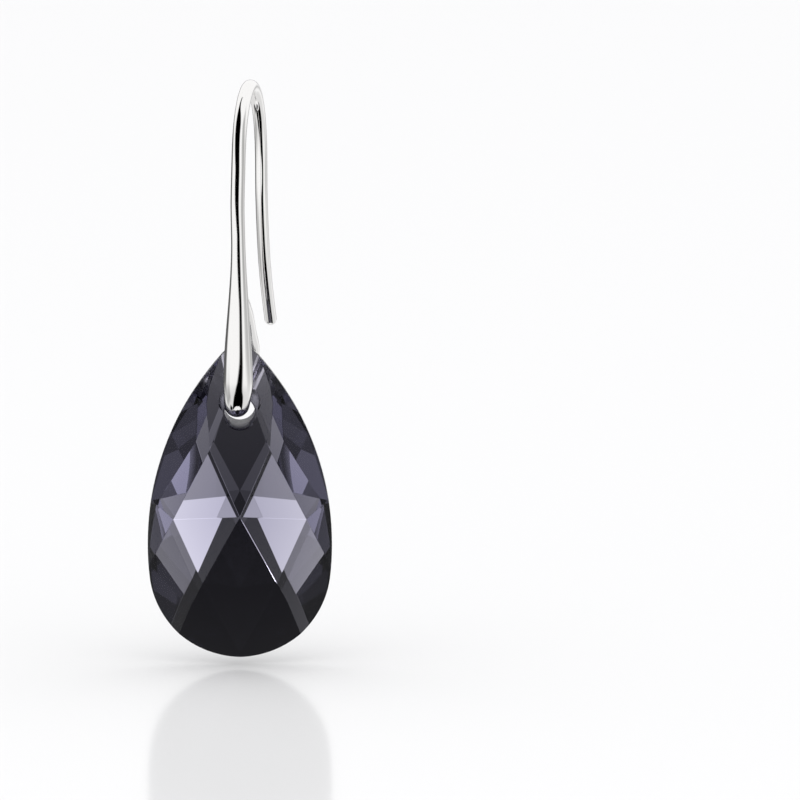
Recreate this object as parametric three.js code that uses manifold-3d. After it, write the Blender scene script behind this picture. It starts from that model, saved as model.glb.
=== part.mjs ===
// One drop earring: a fish-hook ear wire that thickens into a polished teardrop stem, closes in a
// soldered bail loop, and carries a faceted pear-shaped crystal through the hole drilled near its tip.
// Millimetres, +Z up. The origin is the underside of the hook's arch, where it bears in the ear.
// The crystal's front looks along -Y; the hook hangs a little turned in the hole, as a loose hook does.
import * as THREE from 'three';
import { mergeVertices } from 'three/addons/utils/BufferGeometryUtils.js';
import Module from 'manifold-3d';

const wasm = await Module();
wasm.setup();

// Crystal, in its own frame: x across, z up from its lowest point, h out from the middle plane.
const CRYSTAL_FOOT = new THREE.Vector3(-0.69, -0.1, -39.65);
const SIDE_RADIUS = 19.8;         // the long arcs of the pear outline
const SIDE_LEVEL = 7.96;          // height of the widest point
const HALF_WIDTH = 6.44;
const FOOT_RADIUS = 6.34;         // the round bottom
const TIP_RADIUS = 1.4;           // the round tip
const ARC_SEGMENTS = 18;
const BLANK_DEPTH = 12;           // thickness of the blank before the facets are cut
const HOLE_LEVEL = 17.45;
const HOLE_RADIUS = 1.08;
const HOLE_SIDES = 48;
const CHAMFER = 0.12;

// Hook
const HOOK_TURN = THREE.MathUtils.degToRad(12);
const WIRE_RADIUS = 0.49;
const TAIL_RADIUS = 0.43;
const LOOP_RADIUS = 0.42;
const STEM_RADIUS = 1.05;
const STEM_TOP = -9.3;            // where the stem starts to thicken
const STEM_BELLY = -20.6;         // where it is thickest
const HEEL_RADIUS = 0.88;         // where the heel has turned back toward the hole
const HEEL_TOP = -19.6;           // where the stem starts to narrow into the heel
const HEEL_FOOT = -21.8;
const HEEL_FRONT = -2.75;         // how far back the heel has turned before it thins to the loop
const HEEL_BACK = -1.9;
const ARCH_FRONT = -3.75;         // where the two legs of the arch stand
const ARCH_BACK = 4;
const ARCH_RISE = 5.6;            // from the legs' level to the top of the arch, on the centre line
const WIRE_SIDES = 20;
const LOOP_SIDES = 12;

// ---- from three.js geometry to solids and back ----

function toSolid(geometry) {
  const bare = geometry.clone();
  bare.deleteAttribute('normal');
  bare.deleteAttribute('uv');
  const merged = mergeVertices(bare, 1e-5);
  return new wasm.Manifold(new wasm.Mesh({
    numProp: 3,
    vertProperties: new Float32Array(merged.attributes.position.array),
    triVerts: new Uint32Array(merged.index.array),
  }));
}

function toMesh(name, solid, material) {
  const cut = solid.getMesh();
  const geometry = new THREE.BufferGeometry();
  geometry.setAttribute('position', new THREE.BufferAttribute(cut.vertProperties, 3));
  geometry.setIndex(new THREE.BufferAttribute(cut.triVerts, 1));
  geometry.computeVertexNormals();
  const mesh = new THREE.Mesh(geometry, material);
  mesh.name = name;
  return mesh;
}

// ---- crystal ----

// The pear outline is four tangent arcs: foot, right side, tip, left side.
function pearOutline() {
  const sideCentre = SIDE_RADIUS - HALF_WIDTH;
  const tipLevel = SIDE_LEVEL + Math.sqrt((SIDE_RADIUS - TIP_RADIUS) ** 2 - sideCentre ** 2);
  const footAngle = Math.atan2(FOOT_RADIUS - SIDE_LEVEL, sideCentre);
  const tipAngle = Math.atan2(tipLevel - SIDE_LEVEL, sideCentre);
  const outline = new THREE.Shape();
  outline.absarc(0, FOOT_RADIUS, FOOT_RADIUS, Math.PI - footAngle, 2 * Math.PI + footAngle);
  outline.absarc(-sideCentre, SIDE_LEVEL, SIDE_RADIUS, footAngle, tipAngle);
  outline.absarc(0, tipLevel, TIP_RADIUS, tipAngle, Math.PI - tipAngle);
  outline.absarc(sideCentre, SIDE_LEVEL, SIDE_RADIUS, Math.PI - tipAngle, Math.PI - footAngle);
  return outline;
}

// A point on the facet through a, b and c at the given x and z.
function onFacet([a, b, c], x, z) {
  const plane = new THREE.Plane().setFromCoplanarPoints(
    new THREE.Vector3(...a), new THREE.Vector3(...b), new THREE.Vector3(...c));
  const { normal, constant } = plane;
  return [x, z, -(constant + normal.x * x + normal.y * z) / normal.z];
}

// The facets of one face, each by three of its points [x, z, h]. Every face has a lattice of a top
// kite, two side windows each split by a ridge, and a bottom kite, inside a ring of outer facets that
// fall to the thin girdle.
function facetsOf({ centre, shoulder, corner, hip, flank, rims }) {
  const mirrored = ([x, z, h]) => [-x, z, h];
  const topKite = [centre, shoulder, mirrored(shoulder)];
  const bottomKite = [centre, hip, mirrored(hip)];
  const lowerOuter = [corner, hip, flank];
  return {
    single: [topKite, bottomKite],
    paired: [
      [centre, corner, shoulder],
      [centre, corner, hip],
      [shoulder, corner, [5.89, 12.6, rims.upper]],
      lowerOuter,
      [corner, flank, [6.43, 9.5, rims.side]],
      [flank, onFacet(lowerOuter, 3.8, 4.45), [6.15, 4.9, rims.lower]],
      [hip, onFacet(bottomKite, 0, 0.5), [4, 1.45, rims.foot]],
      [shoulder, onFacet(topKite, 0, 20.2), [4.21, 17.1, rims.top]],
      [[3.25, 18.74, 0.3], [1.07, 22.1, 0.3], [2.1, 15.1, rims.crown]],
    ],
  };
}

const FRONT = {
  centre: [0, 10.45, 4],
  shoulder: [2.1, 15, 2.65],
  corner: [4.65, 10.05, 2.45],
  hip: [2.6, 5.5, 2.35],
  flank: [5.9, 7.45, 1.15],
  rims: { upper: 0.5, side: 0.55, lower: 0.3, foot: 0.4, top: 1.2, crown: 2.95 },
};
const BACK = {
  centre: [0, 10.7, 4.25],
  shoulder: [1.8, 14.4, 3.1],
  corner: [4.75, 10.6, 2],
  hip: [2.5, 5.75, 2.55],
  flank: [6.05, 6.55, 0.7],
  rims: { upper: 0.5, side: 0.6, lower: 0.35, foot: 0.55, top: 1.5, crown: 3.15 },
};

// Everything beyond one facet: a block whose underside lies on the facet's plane.
function beyondFacet(points, face, mirror) {
  const [a, b, c] = points.map(([x, z, h]) => new THREE.Vector3(mirror * x, face * h, z));
  const outward = new THREE.Plane().setFromCoplanarPoints(a, b, c).normal;
  if (outward.y * face < 0) outward.negate();
  const block = new THREE.BoxGeometry(80, 80, 30);
  block.translate(0, 0, 15);
  block.applyQuaternion(new THREE.Quaternion().setFromUnitVectors(new THREE.Vector3(0, 0, 1), outward));
  block.translate(a.x, a.y, a.z);
  return toSolid(block);
}

// The cone that breaks the hole's edge, square to the top kite that it opens in.
function countersink(cut, face) {
  const [topKite] = facetsOf(cut).single;
  const [a, b, c] = topKite.map(([x, z, h]) => new THREE.Vector3(x, face * h, z));
  const outward = new THREE.Plane().setFromCoplanarPoints(a, b, c).normal;
  if (outward.y * face < 0) outward.negate();
  const reach = 1;
  const cone = new THREE.CylinderGeometry(
    HOLE_RADIUS + CHAMFER + reach, HOLE_RADIUS, CHAMFER + reach, HOLE_SIDES);
  cone.translate(0, (reach - CHAMFER) / 2, 0);
  cone.applyQuaternion(new THREE.Quaternion().setFromUnitVectors(new THREE.Vector3(0, 1, 0), outward));
  cone.translate(0, face * onFacet(topKite, 0, HOLE_LEVEL)[2], HOLE_LEVEL);
  return toSolid(cone);
}

function crystalSolid() {
  const blank = new THREE.ExtrudeGeometry(pearOutline(), {
    depth: BLANK_DEPTH,
    bevelEnabled: false,
    curveSegments: ARC_SEGMENTS,
  });
  blank.translate(0, 0, -BLANK_DEPTH / 2);
  blank.rotateX(Math.PI / 2);
  let crystal = toSolid(blank);
  for (const [cut, face] of [[FRONT, -1], [BACK, 1]]) {
    const { single, paired } = facetsOf(cut);
    for (const facet of single) {
      crystal = crystal.subtract(beyondFacet(facet, face, 1));
    }
    for (const facet of paired) {
      crystal = crystal.subtract(beyondFacet(facet, face, 1));
      crystal = crystal.subtract(beyondFacet(facet, face, -1));
    }
  }
  const drill = new THREE.CylinderGeometry(HOLE_RADIUS, HOLE_RADIUS, BLANK_DEPTH, HOLE_SIDES);
  drill.translate(0, 0, HOLE_LEVEL);
  crystal = crystal.subtract(toSolid(drill));
  crystal = crystal.subtract(countersink(FRONT, -1));
  crystal = crystal.subtract(countersink(BACK, 1));
  return crystal;
}

// ---- hook ----

// A rod of changing radius: a cylinder laid along a curve.
function rod(curve, radiusAt, steps, sides) {
  const geometry = new THREE.CylinderGeometry(1, 1, 1, sides, steps);
  const position = geometry.attributes.position;
  const across = new THREE.Vector3(Math.cos(HOOK_TURN), -Math.sin(HOOK_TURN), 0);
  for (let i = 0; i < position.count; i += 1) {
    const t = 0.5 - position.getY(i);
    const along = curve.getTangentAt(t);
    const upward = new THREE.Vector3().crossVectors(along, across).normalize();
    const sideways = new THREE.Vector3().crossVectors(upward, along);
    const point = curve.getPointAt(t);
    const radius = radiusAt(point);
    point.addScaledVector(sideways, radius * position.getX(i));
    point.addScaledVector(upward, radius * position.getZ(i));
    position.setXYZ(i, point.x, point.y, point.z);
  }
  return toSolid(geometry);
}

// A place from the hook's upright plane: s behind the origin, z above it, and aside to its right.
function inHookPlane(s, z, aside = 0) {
  const forward = new THREE.Vector3(Math.sin(HOOK_TURN), Math.cos(HOOK_TURN), 0);
  const sideways = new THREE.Vector3(Math.cos(HOOK_TURN), -Math.sin(HOOK_TURN), 0);
  return new THREE.Vector3(0, 0, z).addScaledVector(forward, s).addScaledVector(sideways, aside);
}

// A place given from the middle of the crystal's hole.
function fromHole(x, y, z) {
  return new THREE.Vector3(x, y, HOLE_LEVEL + z).add(CRYSTAL_FOOT);
}

// The centre line from the tail's end, up and over the arch, down the stem, and round the heel into
// the crystal's hole.
function hookLine() {
  const tail = [
    inHookPlane(7.13, -16.88),
    inHookPlane(6.17, -15.1),
    inHookPlane(5.06, -12.5),
    inHookPlane(4.42, -9.9),
    inHookPlane(4.07, -7.4),
  ];
  const archFoot = WIRE_RADIUS - ARCH_RISE;
  const archMiddle = (ARCH_BACK + ARCH_FRONT) / 2;
  const archHalfWidth = (ARCH_BACK - ARCH_FRONT) / 2;
  const arch = [0, 1, 2, 3, 4, 5, 6].map((i) => {
    const angle = i * Math.PI / 6;
    return inHookPlane(archMiddle + archHalfWidth * Math.cos(angle), archFoot + ARCH_RISE * Math.sin(angle));
  });
  const stem = [
    inHookPlane(-3.98, -7.4),
    inHookPlane(-4.13, -9.5, 0.07),
    inHookPlane(-4.2, -11.6, 0.11),
    inHookPlane(-4.17, -13.7, 0.1),
    inHookPlane(-4.06, -15.8, 0.06),
    inHookPlane(-3.92, -18, 0.02),
  ];
  const heel = [
    fromHole(-0.11, -3.54, 2.2),
    fromHole(-0.13, -3.44, 1.7),
    fromHole(-0.16, -3.28, 1.3),
    fromHole(-0.18, -3.04, 0.98),
    fromHole(-0.2, -2.74, 0.78),
    fromHole(-0.2, -2.35, 0.64),
    fromHole(-0.12, -1.8, 0.47),
    fromHole(-0.05, -1.2, 0.4),
    fromHole(0, -0.2, 0.4),
  ];
  return new THREE.CatmullRomCurve3([...tail, ...arch, ...stem, ...heel], false, 'centripetal');
}

// The bail loop carries on through the hole, and climbs behind the crystal's tip to the solder joint
// on the back of the stem.
function loopLine() {
  return new THREE.CatmullRomCurve3([
    fromHole(-0.02, -0.6, 0.4),
    fromHole(0, 0, 0.4),
    fromHole(0.12, 1.8, 0.36),
    fromHole(0.32, 2.6, 0.85),
    fromHole(0.65, 2.8, 2.1),
    fromHole(0.97, 2.35, 3.55),
    fromHole(0.79, 0.9, 5.15),
    fromHole(0.53, -0.9, 6.85),
    fromHole(0.1, -2.7, 8.4),
  ], false, 'centripetal');
}

function hookRadius({ y, z }) {
  const { lerp, smoothstep } = THREE.MathUtils;
  if (y > 0) return lerp(WIRE_RADIUS, TAIL_RADIUS, Math.min(y / ARCH_BACK, 1));
  const swollen = smoothstep(-z, -STEM_TOP, -STEM_BELLY);
  const turned = smoothstep(-z, -HEEL_TOP, -HEEL_FOOT);
  const heel = lerp(WIRE_RADIUS, STEM_RADIUS, swollen) + (HEEL_RADIUS - STEM_RADIUS) * turned;
  if (z > HEEL_TOP) return heel;
  return lerp(heel, LOOP_RADIUS + 0.01, smoothstep(y, HEEL_FRONT, HEEL_BACK));
}

function ball(radius, centre) {
  const geometry = new THREE.SphereGeometry(radius, WIRE_SIDES, WIRE_SIDES / 2);
  geometry.translate(centre.x, centre.y, centre.z);
  return toSolid(geometry);
}

function hookSolid() {
  const wire = hookLine();
  return rod(wire, hookRadius, 120, WIRE_SIDES)
    .add(ball(TAIL_RADIUS, wire.getPointAt(0)))
    .add(rod(loopLine(), () => LOOP_RADIUS, 40, LOOP_SIDES));
}

// ---- the earring ----

const silver = new THREE.MeshStandardMaterial({ color: 0xdcdde0, roughness: 0.1, metalness: 1 });
const smokyGlass = new THREE.MeshStandardMaterial({
  color: 0x4b4959,
  roughness: 0.03,
  metalness: 0,
  flatShading: true,
});

const crystal = toMesh('crystal_drop', crystalSolid(), smokyGlass);
crystal.position.copy(CRYSTAL_FOOT);

const earring = new THREE.Group();
earring.add(toMesh('ear_hook', hookSolid(), silver));
earring.add(crystal);

export default earring;
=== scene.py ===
import bpy
import bmesh
import math
import numpy
from mathutils import Matrix, Vector
from mathutils.geometry import normal


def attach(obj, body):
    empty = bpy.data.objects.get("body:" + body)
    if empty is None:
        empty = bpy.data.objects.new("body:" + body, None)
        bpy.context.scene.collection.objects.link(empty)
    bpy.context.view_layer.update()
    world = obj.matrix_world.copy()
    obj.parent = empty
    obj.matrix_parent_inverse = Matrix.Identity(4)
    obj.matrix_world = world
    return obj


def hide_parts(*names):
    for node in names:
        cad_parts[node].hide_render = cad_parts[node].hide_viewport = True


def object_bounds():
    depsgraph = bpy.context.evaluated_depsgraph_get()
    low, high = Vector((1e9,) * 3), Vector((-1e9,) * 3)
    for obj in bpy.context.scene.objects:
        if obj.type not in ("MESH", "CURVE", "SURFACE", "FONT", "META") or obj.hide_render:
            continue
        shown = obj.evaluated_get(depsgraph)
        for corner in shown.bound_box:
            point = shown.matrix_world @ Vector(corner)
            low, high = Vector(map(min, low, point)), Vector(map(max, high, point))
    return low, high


# One drop earring: a polished silver ear hook that carries a faceted smoky crystal.
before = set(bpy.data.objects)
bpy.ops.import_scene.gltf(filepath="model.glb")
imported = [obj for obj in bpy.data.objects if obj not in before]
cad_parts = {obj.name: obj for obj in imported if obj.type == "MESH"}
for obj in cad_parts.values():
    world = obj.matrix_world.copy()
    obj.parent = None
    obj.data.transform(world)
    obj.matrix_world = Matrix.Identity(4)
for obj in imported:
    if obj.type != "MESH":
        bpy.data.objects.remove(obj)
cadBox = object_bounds()
print("frame loaded")

# Pieces are modelled in millimetres in the frame's own axes, and brought to metres at the end.
mm = 0.001


def linear(hexCode):
    channels = [int(hexCode[i:i + 2], 16) / 255 for i in (1, 3, 5)]
    return [c / 12.92 if c <= 0.04045 else ((c + 0.055) / 1.055) ** 2.4 for c in channels] + [1]


def directionOf(azimuth, elevation):
    # Angles are in degrees: azimuth 0 is the front, and positive is to the viewer's right.
    a, e = math.radians(azimuth), math.radians(elevation)
    return Vector((math.sin(a) * math.cos(e), -math.cos(a) * math.cos(e), math.sin(e)))


def addNode(tree, kind, inputs=None, **settings):
    node = tree.nodes.new(kind)
    for name, value in settings.items():
        setattr(node, name, value)
    for name, value in (inputs or {}).items():
        if isinstance(value, bpy.types.NodeSocket):
            tree.links.new(value, node.inputs[name])
        else:
            node.inputs[name].default_value = value
    return node


def newMaterial(name):
    material = bpy.data.materials.new(name)
    material.use_nodes = True
    material.node_tree.nodes.clear()
    return material, material.node_tree


def onlyOf(kind, elements):
    return [element for element in elements if isinstance(element, kind)]


def newPiece(name, bm):
    mesh = bpy.data.meshes.new(name)
    bm.to_mesh(mesh)
    bm.free()
    piece = bpy.data.objects.new(name, mesh)
    bpy.context.scene.collection.objects.link(piece)
    return piece


def joinOrCut(piece, tool, operation):
    boolean = piece.modifiers.new(operation.lower(), "BOOLEAN")
    boolean.operation = operation
    boolean.solver = "EXACT"
    boolean.object = tool
    bpy.context.view_layer.update()
    evaluated = piece.evaluated_get(bpy.context.evaluated_depsgraph_get())
    finished = bpy.data.meshes.new_from_object(evaluated)
    piece.modifiers.clear()
    piece.data = finished
    bpy.data.objects.remove(tool)


# camera

cameraView = {
    "azimuth": 0,
    "elevation": 9,
    "lens": 1000,              # far back on a very long lens, so that the view is almost parallel
    "sensor": 36,
    "frameWidth": 55.9,        # millimetres across the frame at the crystal
    "target": (-0.69, -0.1, -29.65),
    "aimRight": 11.2,          # the frame has room for a second earring beside this one
    "aimUp": 8.0,
}


def makeCamera():
    back = directionOf(cameraView["azimuth"], cameraView["elevation"])
    right = directionOf(cameraView["azimuth"] + 90, 0)
    up = back.cross(right)
    target = Vector(cameraView["target"])
    place = target + back * cameraView["frameWidth"] * cameraView["lens"] / cameraView["sensor"]
    aim = target + right * cameraView["aimRight"] + up * cameraView["aimUp"]
    data = bpy.data.cameras.new("camera")
    data.lens = cameraView["lens"]
    data.sensor_width = cameraView["sensor"]
    camera = bpy.data.objects.new("camera", data)
    bpy.context.scene.collection.objects.link(camera)
    camera.location = place * mm
    camera.rotation_euler = (aim - place).to_track_quat("-Z", "Y").to_euler()
    bpy.context.scene.camera = camera


makeCamera()
print("camera placed")

# studio

studio = {
    "floorDrop": 0.55,         # the drop hangs just clear of the table
    "floorSize": 6000,
    "floorColour": "#F4F4F5",
    "floorGloss": 0.22,
    "floorRoughness": 0.12,
    "floorLight": 1.18,
    "backdrop": "#FFFFFF",
}

# What polished faces mirror: a white tent with a few darker panels, and with a dark gap down its front
# that is narrow at the middle and wide above and below.
tent = {
    "glow": 1.06,
    "gapSoft": 7,
    "gap": [
        # elevation, middle, half width
        (80, -110, 0),
        (70, -98, 16),
        (61, -62, 42),
        (47, -42, 50),
        (25, -38, 48),
        (12, -31, 43),
        (4, -20, 37),
        (0, -1, 27),
        (-4, 16, 17),
        (-8, 25, 13),
        (-14, 19, 17),
        (-20, 12, 22),
        (-33, 6, 32),
        (-42, 5, 46),
        (-50, 5, 56),
        (-60, 5, 78),
        (-68, 5, 105),
        (-75, 5, 0),
    ],
    "panels": [
        # azimuth, elevation, half width, half height, soft edge, strength
        (-104, -56, 16, 6, 6, -1.1),
        (-150, -6, 40, 11, 10, -0.95),
        (68, 18, 20, 16, 10, -0.55),
        (85, -3, 22, 7, 10, -0.55),
        (138, -7, 24, 4, 8, -0.65),
        (-95, -26, 22, 12, 8, -0.4),
        (95, -16, 18, 8, 8, -0.25),
        (0, -50, 180, 26, 12, -0.25),
    ],
}

# What comes through the crystal: soft lamps in a dark room. A row is a pair, at plus and minus its azimuth.
# The glass bends light across, so the lamp on the right side shows in facets on the left.
lampRoom = {
    "glow": 0.018,
    "lamps": [
        # azimuth, elevation, tightness, strength shown on the left, strength shown on the right
        (150, -4, 100, 1.5, 1.25),      # the bright windows
        (147, -20, 60, 0.4, 0.35),      # their upper ends
        (168, -4, 200, 0.8, 0.8),       # their inner tips
        (83, 2, 60, 0.9, 0.75),         # their outer ends
        (170, 7, 200, 0.04, 0.04),      # between them
        (152, -36, 60, 0.12, 0.2),      # the bands beside the top kite
        (168, -38, 100, 0.18, 0.05),    # the shoulders
        (130, -34, 60, 0.5, 0.5),       # beside the hole
        (80, -32, 20, 1.1, 0.9),        # the upper outer facets
        (27, -26, 40, 0.2, 0.3),
        (118, -12, 40, 0.5, 0.4),
        (129, 6, 60, 0.28, 0.48),       # the lower outer facets
        (157, 15, 300, 0, 0.04),        # the foot
        (170, 50, 60, 0.12, 0),
        (175, 10, 2500, 0, 12),         # the glint on one edge
        (0, -56, 20, 0.1, 0.1),         # low in front
        (0, 60, 20, 0.4, 0.4),          # high in front
    ],
}


def angleApart(tree, angle, middle):
    # The short way round from a middle angle, in radians.
    offset = addNode(tree, "ShaderNodeMath", {0: angle, 1: middle}, operation="SUBTRACT")
    turned = addNode(tree, "ShaderNodeMath", {0: offset.outputs[0], 1: math.pi, 2: -math.pi},
                     operation="WRAP")
    return addNode(tree, "ShaderNodeMath", {0: turned.outputs[0]}, operation="ABSOLUTE").outputs[0]


def panelLight(tree, azimuth, elevation):
    light = tent["glow"]
    for across, high, halfWidth, halfHeight, soft, strength in tent["panels"]:
        edges = []
        for angle, middle, half in ((azimuth, across, halfWidth), (elevation, high, halfHeight)):
            edges.append(addNode(tree, "ShaderNodeMapRange", {
                "Value": angleApart(tree, angle, math.radians(middle)),
                "From Min": math.radians(half + soft),
                "From Max": math.radians(half - soft),
            }, interpolation_type="SMOOTHSTEP").outputs[0])
        panel = addNode(tree, "ShaderNodeMath", {0: edges[0], 1: edges[1]}, operation="MULTIPLY")
        light = addNode(tree, "ShaderNodeMath", {0: panel.outputs[0], 1: strength, 2: light},
                        operation="MULTIPLY_ADD").outputs[0]
    return light


def besideGap(tree, azimuth, elevation):
    # Two curves follow the gap's middle and half width up the tent. A curve node runs from 0 to 1 both
    # ways, so its points are degrees brought into that range.
    level = addNode(tree, "ShaderNodeMapRange", {
        "Value": elevation, "From Min": -math.pi / 2, "From Max": math.pi / 2}).outputs[0]
    followed = []
    for column in (1, 2):
        curve = addNode(tree, "ShaderNodeFloatCurve", {"Value": level})
        points = curve.mapping.curves[0].points
        rows = [((row[0] + 90) / 180, (row[column] + 180) / 360) for row in reversed(tent["gap"])]
        points[0].location = (0, rows[0][1])
        points[1].location = (1, rows[-1][1])
        for row in rows:
            points.new(*row)
        curve.mapping.update()
        followed.append(addNode(tree, "ShaderNodeMapRange", {
            "Value": curve.outputs[0], "To Min": -math.pi, "To Max": math.pi}).outputs[0])
    middle, halfWidth = followed
    beyond = addNode(tree, "ShaderNodeMath", {0: angleApart(tree, azimuth, middle), 1: halfWidth},
                     operation="SUBTRACT")
    return addNode(tree, "ShaderNodeMapRange", {
        "Value": beyond.outputs[0],
        "From Min": math.radians(-tent["gapSoft"]),
        "From Max": math.radians(tent["gapSoft"]),
    }, interpolation_type="SMOOTHSTEP").outputs[0]


def lampLight(tree, direction):
    light = lampRoom["glow"]
    lamps = [(side * across, high, tightness, strength)
             for across, high, tightness, left, right in lampRoom["lamps"]
             for side, strength in ((1, left), (-1, right)) if strength]
    for azimuth, elevation, tightness, strength in lamps:
        # Each lamp fades out smoothly round its middle, sooner the tighter it is.
        facing = addNode(tree, "ShaderNodeVectorMath", {0: direction, 1: directionOf(azimuth, elevation)},
                         operation="DOT_PRODUCT")
        falloff = addNode(tree, "ShaderNodeMath", {0: facing.outputs["Value"], 1: tightness, 2: -tightness},
                          operation="MULTIPLY_ADD")
        lamp = addNode(tree, "ShaderNodeMath", {0: math.e, 1: falloff.outputs[0]}, operation="POWER")
        light = addNode(tree, "ShaderNodeMath", {0: lamp.outputs[0], 1: strength, 2: light},
                        operation="MULTIPLY_ADD").outputs[0]
    return light


def makeStudio():
    world = bpy.data.worlds.new("studio")
    bpy.context.scene.world = world
    world.use_nodes = True
    tree = world.node_tree
    tree.nodes.clear()
    direction = addNode(tree, "ShaderNodeTexCoord").outputs["Generated"]
    parts = addNode(tree, "ShaderNodeSeparateXYZ", {"Vector": direction})
    toFront = addNode(tree, "ShaderNodeMath", {0: parts.outputs["Y"], 1: -1.0}, operation="MULTIPLY")
    azimuth = addNode(tree, "ShaderNodeMath", {0: parts.outputs["X"], 1: toFront.outputs[0]},
                      operation="ARCTAN2").outputs[0]
    elevation = addNode(tree, "ShaderNodeMath", {0: parts.outputs["Z"]}, operation="ARCSINE").outputs[0]
    walls = addNode(tree, "ShaderNodeMath", {
        0: panelLight(tree, azimuth, elevation),
        1: besideGap(tree, azimuth, elevation),
    }, operation="MULTIPLY")
    tentLight = addNode(tree, "ShaderNodeMath", {0: walls.outputs[0], 1: 0.0}, operation="MAXIMUM")

    # Each kind of ray has its own surroundings: the tent for mirror images, the lamps for what comes
    # through glass, plain white to light the floor, and the backdrop for the camera.
    path = addNode(tree, "ShaderNodeLightPath")
    seen = addNode(tree, "ShaderNodeBackground", {
        "Color": linear("#FFFFFF"), "Strength": tentLight.outputs[0]})
    for ray, colour, strength in (
        ("Is Transmission Ray", "#FFFFFF", lampLight(tree, direction)),
        ("Is Diffuse Ray", "#FFFFFF", studio["floorLight"]),
        ("Is Camera Ray", studio["backdrop"], 1.0),
    ):
        light = addNode(tree, "ShaderNodeBackground", {"Color": linear(colour), "Strength": strength})
        seen = addNode(tree, "ShaderNodeMixShader", {
            0: path.outputs[ray], 1: seen.outputs[0], 2: light.outputs[0]})
    addNode(tree, "ShaderNodeOutputWorld", {"Surface": seen.outputs[0]})


def whiteAcrylic():
    # White acrylic sheet: a soft white body under a clear face that gives a weak, blurred mirror image.
    material, tree = newMaterial("whiteAcrylicSheet")
    body = addNode(tree, "ShaderNodeBsdfDiffuse", {"Color": linear(studio["floorColour"])})
    face = addNode(tree, "ShaderNodeBsdfGlossy", {
        "Color": linear("#FFFFFF"), "Roughness": studio["floorRoughness"]})
    shader = addNode(tree, "ShaderNodeMixShader", {
        0: studio["floorGloss"], 1: body.outputs[0], 2: face.outputs[0]})
    addNode(tree, "ShaderNodeOutputMaterial", {"Surface": shader.outputs[0]})
    return material


def makeFloor():
    bm = bmesh.new()
    bmesh.ops.create_grid(bm, x_segments=1, y_segments=1, size=studio["floorSize"] * mm / 2)
    bmesh.ops.translate(bm, vec=(0, 0, cadBox[0].z - studio["floorDrop"] * mm), verts=bm.verts)
    floor = newPiece("floor", bm)
    floor.data.materials.append(whiteAcrylic())
    floor.visible_transmission = False
    floor.visible_glossy = False


makeStudio()
makeFloor()
bpy.context.scene.view_settings.view_transform = "Standard"
print("studio lit")

# crystal

crystalCut = {
    "foot": (-0.69, -0.1, -39.65),   # the lowest point, at the middle of the thickness
    "sideRadius": 19.8,
    "sideLevel": 7.96,               # how high the pear is widest
    "halfWidth": 6.44,
    "footRadius": 6.34,
    "tipRadius": 1.4,
    "arcSteps": (56, 30, 12, 30),    # round the foot, up one side, over the tip, down the other
    "blankDepth": 12,
    "holeLevel": 17.45,
    "holeRadius": 1.08,
    "holeSides": 96,
    "chamfer": 0.12,
    "edgeRound": 0.022,
    "edgeSteps": 2,
    "girdleLean": 0.02,              # a face that leans less than this belongs to the upright rim
    "meetWithin": 0.001,             # ends of the outline that are this near become one corner
    "planeWithin": 0.0002,           # corners this near to a ground facet lie on it
    "sliver": 0.002,                 # edges shorter than this are closed up
    # Facet corners are across, up from the foot, and out from the middle plane.
    "front": {
        "centre": (0, 10.45, 4),
        "shoulder": (2.1, 15, 2.65),
        "corner": (4.65, 10.05, 2.45),
        "hip": (2.6, 5.5, 2.35),
        "flank": (5.9, 7.45, 1.15),
        "rims": {"upper": 0.5, "side": 0.55, "lower": 0.3, "foot": 0.4, "top": 1.2, "crown": 2.95},
    },
    "back": {
        "centre": (0, 10.7, 4.25),
        "shoulder": (1.8, 14.4, 3.1),
        "corner": (4.75, 10.6, 2),
        "hip": (2.5, 5.75, 2.55),
        "flank": (6.05, 6.55, 0.7),
        "rims": {"upper": 0.5, "side": 0.6, "lower": 0.35, "foot": 0.55, "top": 1.5, "crown": 3.15},
    },
    # Where the outer facets reach the height that each face's rims give, across and up.
    "rimPlaces": {
        "upper": (5.89, 12.6),
        "side": (6.43, 9.5),
        "lower": (6.15, 4.9),
        "foot": (4, 1.45),
        "top": (4.21, 17.1),
        "crown": (2.1, 15.1),
    },
    # Where three of them leave the facet beside them, across and up.
    "leavePlaces": {"lower": (3.8, 4.45), "foot": (0, 0.5), "top": (0, 20.2)},
    # The crown facets' two corners near the rim, across, up and out.
    "crownEdge": ((3.25, 18.74, 0.3), (1.07, 22.1, 0.3)),
}
crystalFaces = ((crystalCut["front"], -1), (crystalCut["back"], 1))


def facetsOf(cut):
    centre, shoulder, corner = cut["centre"], cut["shoulder"], cut["corner"]
    hip, flank = cut["hip"], cut["flank"]

    def mirrored(point):
        return (-point[0], point[1], point[2])

    def rim(name):
        return (*crystalCut["rimPlaces"][name], cut["rims"][name])

    def leaving(name, points):
        x, z = crystalCut["leavePlaces"][name]
        a, b, c = [Vector(point) for point in points]
        n = normal(a, b, c)
        return (x, z, (n.dot(a) - n.x * x - n.y * z) / n.z)

    topKite = (centre, shoulder, mirrored(shoulder))
    bottomKite = (centre, hip, mirrored(hip))
    lowerOuter = (corner, hip, flank)
    single = [topKite, bottomKite]
    paired = [
        (centre, corner, shoulder),
        (centre, corner, hip),
        (shoulder, corner, rim("upper")),
        lowerOuter,
        (corner, flank, rim("side")),
        (flank, leaving("lower", lowerOuter), rim("lower")),
        (hip, leaving("foot", bottomKite), rim("foot")),
        (shoulder, leaving("top", topKite), rim("top")),
        (*crystalCut["crownEdge"], rim("crown")),
    ]
    return single, paired


def facetPlane(points, face, side):
    a, b, c = [Vector((side * x, face * h, z)) for x, z, h in points]
    outward = normal(a, b, c)
    if outward.y * face < 0:
        outward.negate()
    return a, outward


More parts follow.
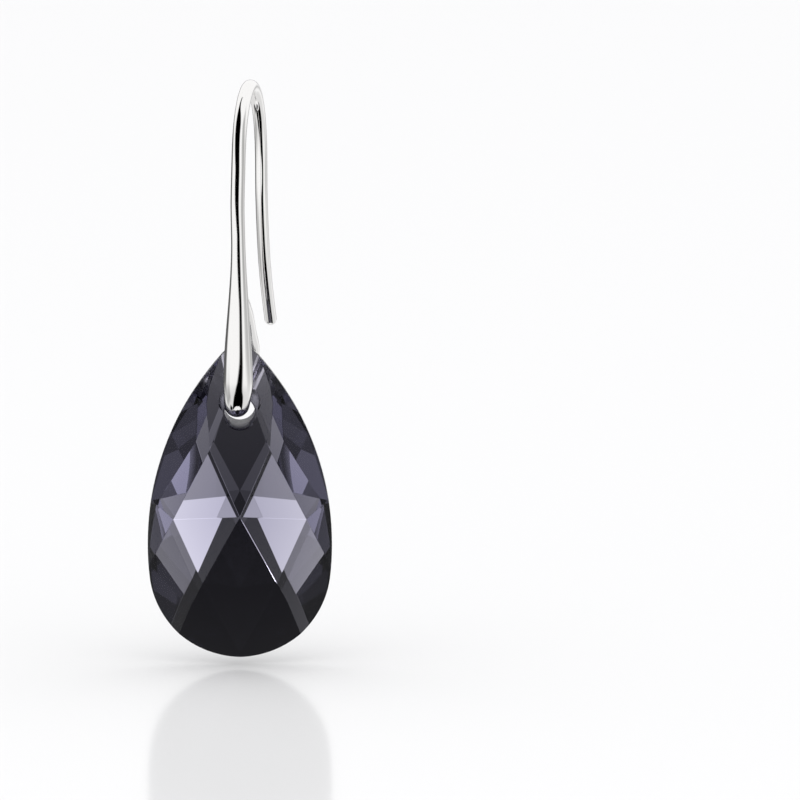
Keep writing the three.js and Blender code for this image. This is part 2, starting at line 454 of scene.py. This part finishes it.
def pearBlank():
    sideRadius, sideLevel = crystalCut["sideRadius"], crystalCut["sideLevel"]
    footRadius, tipRadius = crystalCut["footRadius"], crystalCut["tipRadius"]
    sideCentre = sideRadius - crystalCut["halfWidth"]
    tipLevel = sideLevel + math.sqrt((sideRadius - tipRadius) ** 2 - sideCentre ** 2)
    footAngle = math.atan2(footRadius - sideLevel, sideCentre)
    tipAngle = math.atan2(tipLevel - sideLevel, sideCentre)
    depth = crystalCut["blankDepth"]
    bm = bmesh.new()
    start = Vector((
        -footRadius * math.cos(footAngle),
        -depth / 2,
        footRadius + footRadius * math.sin(footAngle),
    ))
    turning = [bm.verts.new(start)]
    arcs = [
        ((0, footRadius), math.pi + 2 * footAngle),
        ((-sideCentre, sideLevel), tipAngle - footAngle),
        ((0, tipLevel), math.pi - 2 * tipAngle),
        ((sideCentre, sideLevel), tipAngle - footAngle),
    ]
    for ((x, z), angle), steps in zip(arcs, crystalCut["arcSteps"]):
        arc = bmesh.ops.spin(bm, geom=turning, cent=(x, 0, z), axis=(0, -1, 0), angle=angle, steps=steps)
        turning = onlyOf(bmesh.types.BMVert, arc["geom_last"])
    bmesh.ops.remove_doubles(bm, verts=bm.verts, dist=crystalCut["meetWithin"])
    outline = bmesh.ops.contextual_create(bm, geom=bm.edges[:])["faces"]
    raised = bmesh.ops.extrude_face_region(bm, geom=outline, use_keep_orig=True)["geom"]
    bmesh.ops.translate(bm, vec=(0, depth, 0), verts=onlyOf(bmesh.types.BMVert, raised))
    bmesh.ops.recalc_face_normals(bm, faces=bm.faces)
    return bm


def grindFacets(bm):
    for cut, face in crystalFaces:
        single, paired = facetsOf(cut)
        planes = [facetPlane(points, face, 1) for points in single + paired]
        planes += [facetPlane(points, face, -1) for points in paired]
        for point, outward in planes:
            ground = bmesh.ops.bisect_plane(
                bm, geom=bm.verts[:] + bm.edges[:] + bm.faces[:], dist=crystalCut["planeWithin"],
                plane_co=point, plane_no=outward, clear_outer=True)
            bmesh.ops.edgeloop_fill(bm, edges=onlyOf(bmesh.types.BMEdge, ground["geom_cut"]))
    bmesh.ops.remove_doubles(bm, verts=bm.verts, dist=crystalCut["sliver"])
    bmesh.ops.dissolve_degenerate(bm, edges=bm.edges, dist=crystalCut["sliver"])
    bmesh.ops.recalc_face_normals(bm, faces=bm.faces)


def breakEdges(bm):
    # Every edge between facets is a hair round. The rim is one smooth band.
    girdle = {face for face in bm.faces if abs(face.normal.y) < crystalCut["girdleLean"]}
    for face in girdle:
        face.smooth = True
    arrises = [edge for edge in bm.edges if not girdle.intersection(edge.link_faces)]
    bmesh.ops.bevel(bm, geom=arrises, offset=crystalCut["edgeRound"], offset_type="OFFSET",
                    segments=crystalCut["edgeSteps"], profile=0.5, affect="EDGES", clamp_overlap=True,
                    material=-1)


def makeCutter(name, depth, farRadius):
    bm = bmesh.new()
    bmesh.ops.create_cone(
        bm, cap_ends=True, segments=crystalCut["holeSides"], depth=depth,
        radius1=crystalCut["holeRadius"], radius2=farRadius)
    for face in bm.faces:
        face.smooth = len(face.verts) == 4
    return newPiece(name, bm)


def drillHole(crystal):
    level = Vector((0, 0, crystalCut["holeLevel"]))
    drill = makeCutter("drill", crystalCut["blankDepth"], crystalCut["holeRadius"])
    drill.data.transform(Matrix.Translation(level) @ Matrix.Rotation(math.pi / 2, 4, "X"))
    tools = [drill]
    reach = 1   # how far each countersink stands out of the glass
    for cut, face in crystalFaces:
        topKite = facetsOf(cut)[0][0]
        point, outward = facetPlane(topKite, face, 1)
        mouth = level.copy()
        mouth.y = (outward.dot(point) - outward.z * mouth.z) / outward.y
        sink = makeCutter("countersink", crystalCut["chamfer"] + reach,
                          crystalCut["holeRadius"] + crystalCut["chamfer"] + reach)
        sink.data.transform(
            Matrix.Translation(mouth)
            @ outward.to_track_quat("Z", "Y").to_matrix().to_4x4()
            @ Matrix.Translation((0, 0, (reach - crystalCut["chamfer"]) / 2)))
        tools.append(sink)
    for tool in tools:
        joinOrCut(crystal, tool, "DIFFERENCE")


def makeCrystal():
    bm = pearBlank()
    grindFacets(bm)
    breakEdges(bm)
    crystal = newPiece("smoky_crystal", bm)
    drillHole(crystal)
    crystal.data.transform(Matrix.Scale(mm, 4) @ Matrix.Translation(crystalCut["foot"]))
    return crystal


crystalLook = {
    "ior": 1.55,
    "firstReflection": "#909090",
    "tint": "#F4F2FF",
    "absorb": "#7C79A0",
    "density": 110,
    "lapMark": 0.05,           # millimetres
    "polish": (0.0, 0.012),
    "ground": 0.45,
    "groundEdge": 0.03,        # millimetres
}


def smokyCrystal():
    # Cut crystal glass, machine polished: sharp clear refraction with a grey-violet body colour.
    # The facets keep a trace of the polishing lap, and the drilled hole is left ground.
    material, tree = newMaterial("polishedSmokyCrystalGlass")
    place = addNode(tree, "ShaderNodeTexCoord").outputs["Object"]
    marks = addNode(tree, "ShaderNodeTexNoise", {
        "Vector": place, "Scale": 1 / (crystalLook["lapMark"] * mm), "Detail": 2.0})
    polish = addNode(tree, "ShaderNodeMapRange", {
        "Value": marks.outputs[0], "To Min": crystalLook["polish"][0], "To Max": crystalLook["polish"][1]})
    foot = crystalCut["foot"]
    fromAxis = addNode(tree, "ShaderNodeMapping", {
        "Vector": place,
        "Location": (-foot[0] * mm, 0, -(foot[2] + crystalCut["holeLevel"]) * mm),
        "Scale": (1, 0, 1),
    })
    reach = addNode(tree, "ShaderNodeVectorMath", {0: fromAxis.outputs[0]}, operation="LENGTH")
    ground = addNode(tree, "ShaderNodeMapRange", {
        "Value": reach.outputs["Value"],
        "From Min": (crystalCut["holeRadius"] + crystalLook["groundEdge"]) * mm,
        "From Max": crystalCut["holeRadius"] * mm,
        "To Max": crystalLook["ground"],
    })
    roughness = addNode(tree, "ShaderNodeMath", {0: polish.outputs[0], 1: ground.outputs[0]},
                        operation="MAXIMUM")
    shader = addNode(tree, "ShaderNodeBsdfPrincipled", {
        "Base Color": linear(crystalLook["tint"]),
        "Roughness": roughness.outputs[0],
        "IOR": crystalLook["ior"],
        "Transmission Weight": 1.0,
        "Specular Tint": linear(crystalLook["firstReflection"]),
    })
    body = addNode(tree, "ShaderNodeVolumeAbsorption", {
        "Color": linear(crystalLook["absorb"]), "Density": crystalLook["density"]})
    addNode(tree, "ShaderNodeOutputMaterial", {"Surface": shader.outputs[0], "Volume": body.outputs[0]})
    return material


crystal = makeCrystal()
crystal.data.materials.clear()
crystal.data.materials.append(smokyCrystal())
print("crystal cut:", len(crystal.data.polygons), "faces")

# ear hook

hookShape = {
    "turn": 12,                # degrees that the hook hangs turned in the hole
    "wireRadius": 0.49,
    "tailRadius": 0.43,
    "loopRadius": 0.42,
    "stemRadius": 1.05,
    "stemTop": -9.3,           # where the stem starts to thicken
    "stemBelly": -20.6,        # where it is thickest
    "heelRadius": 0.88,        # where the heel has turned back toward the hole
    "heelTop": -19.6,          # where the stem starts to narrow into the heel
    "heelFoot": -21.8,
    "heelFront": -2.75,        # how far back the heel has turned before it thins to the loop
    "heelBack": -1.9,          # how far back it has thinned to the loop
    "overLoop": 0.01,          # how much thicker than the loop it stays, so that their sides never coincide
    "archFront": -3.75,        # where the two legs of the arch stand
    "archBack": 4,
    "archRise": 5.6,
    "archSteps": 6,
    "sides": 64,
    "step": 0.12,
    "capSteps": 12,            # rings of the half ball that rounds the tail's end
    "capTip": 0.01,            # the smallest of them, as a share of the wire
}

hookRoute = {
    # Tail and stem: back along the hook's plane, up from the arch's underside, and aside from the plane.
    "tail": [(7.13, -16.88), (6.17, -15.1), (5.06, -12.5), (4.42, -9.9), (4.07, -7.4)],
    "stem": [
        (-3.98, -7.4), (-4.13, -9.5, 0.07), (-4.2, -11.6, 0.11), (-4.17, -13.7, 0.1),
        (-4.06, -15.8, 0.06), (-3.92, -18, 0.02),
    ],
    # Heel and loop: across, back and up from the middle of the crystal's hole. The loop's upper end
    # stops just short of the stem's back, which it should reach.
    "heel": [
        (-0.11, -3.54, 2.2), (-0.13, -3.44, 1.7), (-0.16, -3.28, 1.3), (-0.18, -3.04, 0.98),
        (-0.2, -2.74, 0.78), (-0.2, -2.35, 0.64), (-0.12, -1.8, 0.47), (-0.05, -1.2, 0.4), (0, -0.2, 0.4),
    ],
    "loop": [
        (-0.02, -0.6, 0.4), (0, 0, 0.4), (0.12, 1.8, 0.36), (0.32, 2.6, 0.85), (0.65, 2.8, 2.1),
        (0.97, 2.35, 3.55), (0.79, 0.9, 5.15), (0.53, -0.9, 6.85), (0.1, -2.7, 8.4),
    ],
}

turn = math.radians(hookShape["turn"])
across = Vector((math.cos(turn), -math.sin(turn), 0))


def inHookPlane(along, z, aside=0):
    return Vector((along * math.sin(turn), along * math.cos(turn), z)) + across * aside


def fromHole(x, y, z):
    return Vector((x, y, crystalCut["holeLevel"] + z)) + Vector(crystalCut["foot"])


def smoothPath(points):
    # A cubic spline with no jump in its bend, because polished metal shows each one.
    spans = [(b - a).length for a, b in zip(points, points[1:])]
    system = numpy.eye(len(points))
    pull = numpy.zeros((len(points), 3))
    for i in range(1, len(points) - 1):
        before, after = spans[i - 1], spans[i]
        system[i, i - 1:i + 2] = before, 2 * (before + after), after
        pull[i] = 6 * ((points[i + 1] - points[i]) / after - (points[i] - points[i - 1]) / before)
    bends = [Vector(bend) for bend in numpy.linalg.solve(system, pull)]
    fine = []
    for i, span in enumerate(spans):
        steps = max(2, round(span / hookShape["step"]))
        for k in range(steps):
            here, left = span * k / steps, span * (steps - k) / steps
            fine.append((bends[i] * left ** 3 + bends[i + 1] * here ** 3) / (6 * span)
                        + (points[i] / span - bends[i] * span / 6) * left
                        + (points[i + 1] / span - bends[i + 1] * span / 6) * here)
    return fine + [points[-1]]


def smoothstep(value, low, high):
    t = min(max((value - low) / (high - low), 0), 1)
    return t * t * (3 - 2 * t)


def stationsAlong(path, radiusAt, roundStart):
    # A station is a centre, a direction and a radius; a rounded start adds a half ball.
    stations = []
    for i, centre in enumerate(path):
        along = (path[min(i + 1, len(path) - 1)] - path[max(i - 1, 0)]).normalized()
        stations.append((centre, along, radiusAt(centre)))
    if roundStart:
        centre, along, radius = stations[0]
        steps = hookShape["capSteps"]
        angles = [math.pi / 2 * k / steps for k in range(steps, 0, -1)]
        stations = [(centre - along * radius * math.sin(a), along,
                     radius * max(math.cos(a), hookShape["capTip"])) for a in angles] + stations
    return stations


def sweepRod(name, stations):
    bm = bmesh.new()
    ring = bmesh.ops.create_circle(bm, cap_ends=False, segments=hookShape["sides"], radius=1)["verts"]
    edges = bm.edges[:]
    firstEdges, last = edges, Matrix.Identity(4)
    for i, (centre, along, radius) in enumerate(stations):
        upward = along.cross(across).normalized()
        place = Matrix((upward.cross(along), upward, along)).transposed().to_4x4()
        place.translation = centre
        place = place @ Matrix.Scale(radius, 4)
        if i:
            grown = bmesh.ops.extrude_edge_only(bm, edges=edges)["geom"]
            ring = onlyOf(bmesh.types.BMVert, grown)
            edges = [edge for edge in onlyOf(bmesh.types.BMEdge, grown)
                     if all(vert in ring for vert in edge.verts)]
        bmesh.ops.transform(bm, matrix=place @ last.inverted(), verts=ring)
        last = place
    for rim in (firstEdges, edges):
        bmesh.ops.edgeloop_fill(bm, edges=rim)
    bmesh.ops.recalc_face_normals(bm, faces=bm.faces)
    return newPiece(name, bm)


def hookRadius(point):
    wire, stem, loop = hookShape["wireRadius"], hookShape["stemRadius"], hookShape["loopRadius"]
    if point.y > 0:
        return wire + (hookShape["tailRadius"] - wire) * min(point.y / hookShape["archBack"], 1)
    swollen = smoothstep(-point.z, -hookShape["stemTop"], -hookShape["stemBelly"])
    turned = smoothstep(-point.z, -hookShape["heelTop"], -hookShape["heelFoot"])
    heel = wire + (stem - wire) * swollen + (hookShape["heelRadius"] - stem) * turned
    if point.z > hookShape["heelTop"]:
        return heel
    thinned = smoothstep(point.y, hookShape["heelFront"], hookShape["heelBack"])
    return heel + (loop + hookShape["overLoop"] - heel) * thinned


def makeHook():
    archFoot = hookShape["wireRadius"] - hookShape["archRise"]
    archMiddle = (hookShape["archBack"] + hookShape["archFront"]) / 2
    archHalfWidth = (hookShape["archBack"] - hookShape["archFront"]) / 2
    arch = []
    for i in range(hookShape["archSteps"] + 1):
        angle = i * math.pi / hookShape["archSteps"]
        arch.append(inHookPlane(archMiddle + archHalfWidth * math.cos(angle),
                                archFoot + hookShape["archRise"] * math.sin(angle)))
    tail = [inHookPlane(*place) for place in hookRoute["tail"]]
    stem = [inHookPlane(*place) for place in hookRoute["stem"]]
    heel = [fromHole(*place) for place in hookRoute["heel"]]
    wire = smoothPath(tail + arch + stem + heel)
    loop = smoothPath([fromHole(*place) for place in hookRoute["loop"]])
    hook = sweepRod("silver_ear_hook", stationsAlong(wire, hookRadius, roundStart=True))
    bail = sweepRod("loop", stationsAlong(loop, lambda point: hookShape["loopRadius"], roundStart=False))
    joinOrCut(hook, bail, "UNION")
    hook.data.transform(Matrix.Scale(mm, 4))
    hook.data.shade_smooth()
    return hook


silverLook = {
    "colour": "#F1F0EF",
    "haze": 1.11,              # millimetres
    "polish": (0.03, 0.09),
}


def polishedSilver():
    # Sterling silver, buffed to a mirror: bright, nearly neutral, with a faint polishing haze.
    material, tree = newMaterial("mirrorPolishedSterlingSilver")
    place = addNode(tree, "ShaderNodeTexCoord").outputs["Object"]
    haze = addNode(tree, "ShaderNodeTexNoise", {
        "Vector": place, "Scale": 1 / (silverLook["haze"] * mm), "Detail": 4.0})
    roughness = addNode(tree, "ShaderNodeMapRange", {
        "Value": haze.outputs[0], "To Min": silverLook["polish"][0], "To Max": silverLook["polish"][1]})
    shader = addNode(tree, "ShaderNodeBsdfPrincipled", {
        "Base Color": linear(silverLook["colour"]),
        "Metallic": 1.0,
        "Roughness": roughness.outputs[0],
    })
    addNode(tree, "ShaderNodeOutputMaterial", {"Surface": shader.outputs[0]})
    return material


hook = makeHook()
hook.data.materials.clear()
hook.data.materials.append(polishedSilver())
print("hook bent:", len(hook.data.polygons), "faces")

# hand the pieces to the frame

for piece, body, node, slot in (
    (crystal, "drop", "crystal_drop", "smoky_crystal"),
    (hook, "hook", "ear_hook", "polished_silver"),
):
    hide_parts(node)
    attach(piece, body)
print("pieces placed")
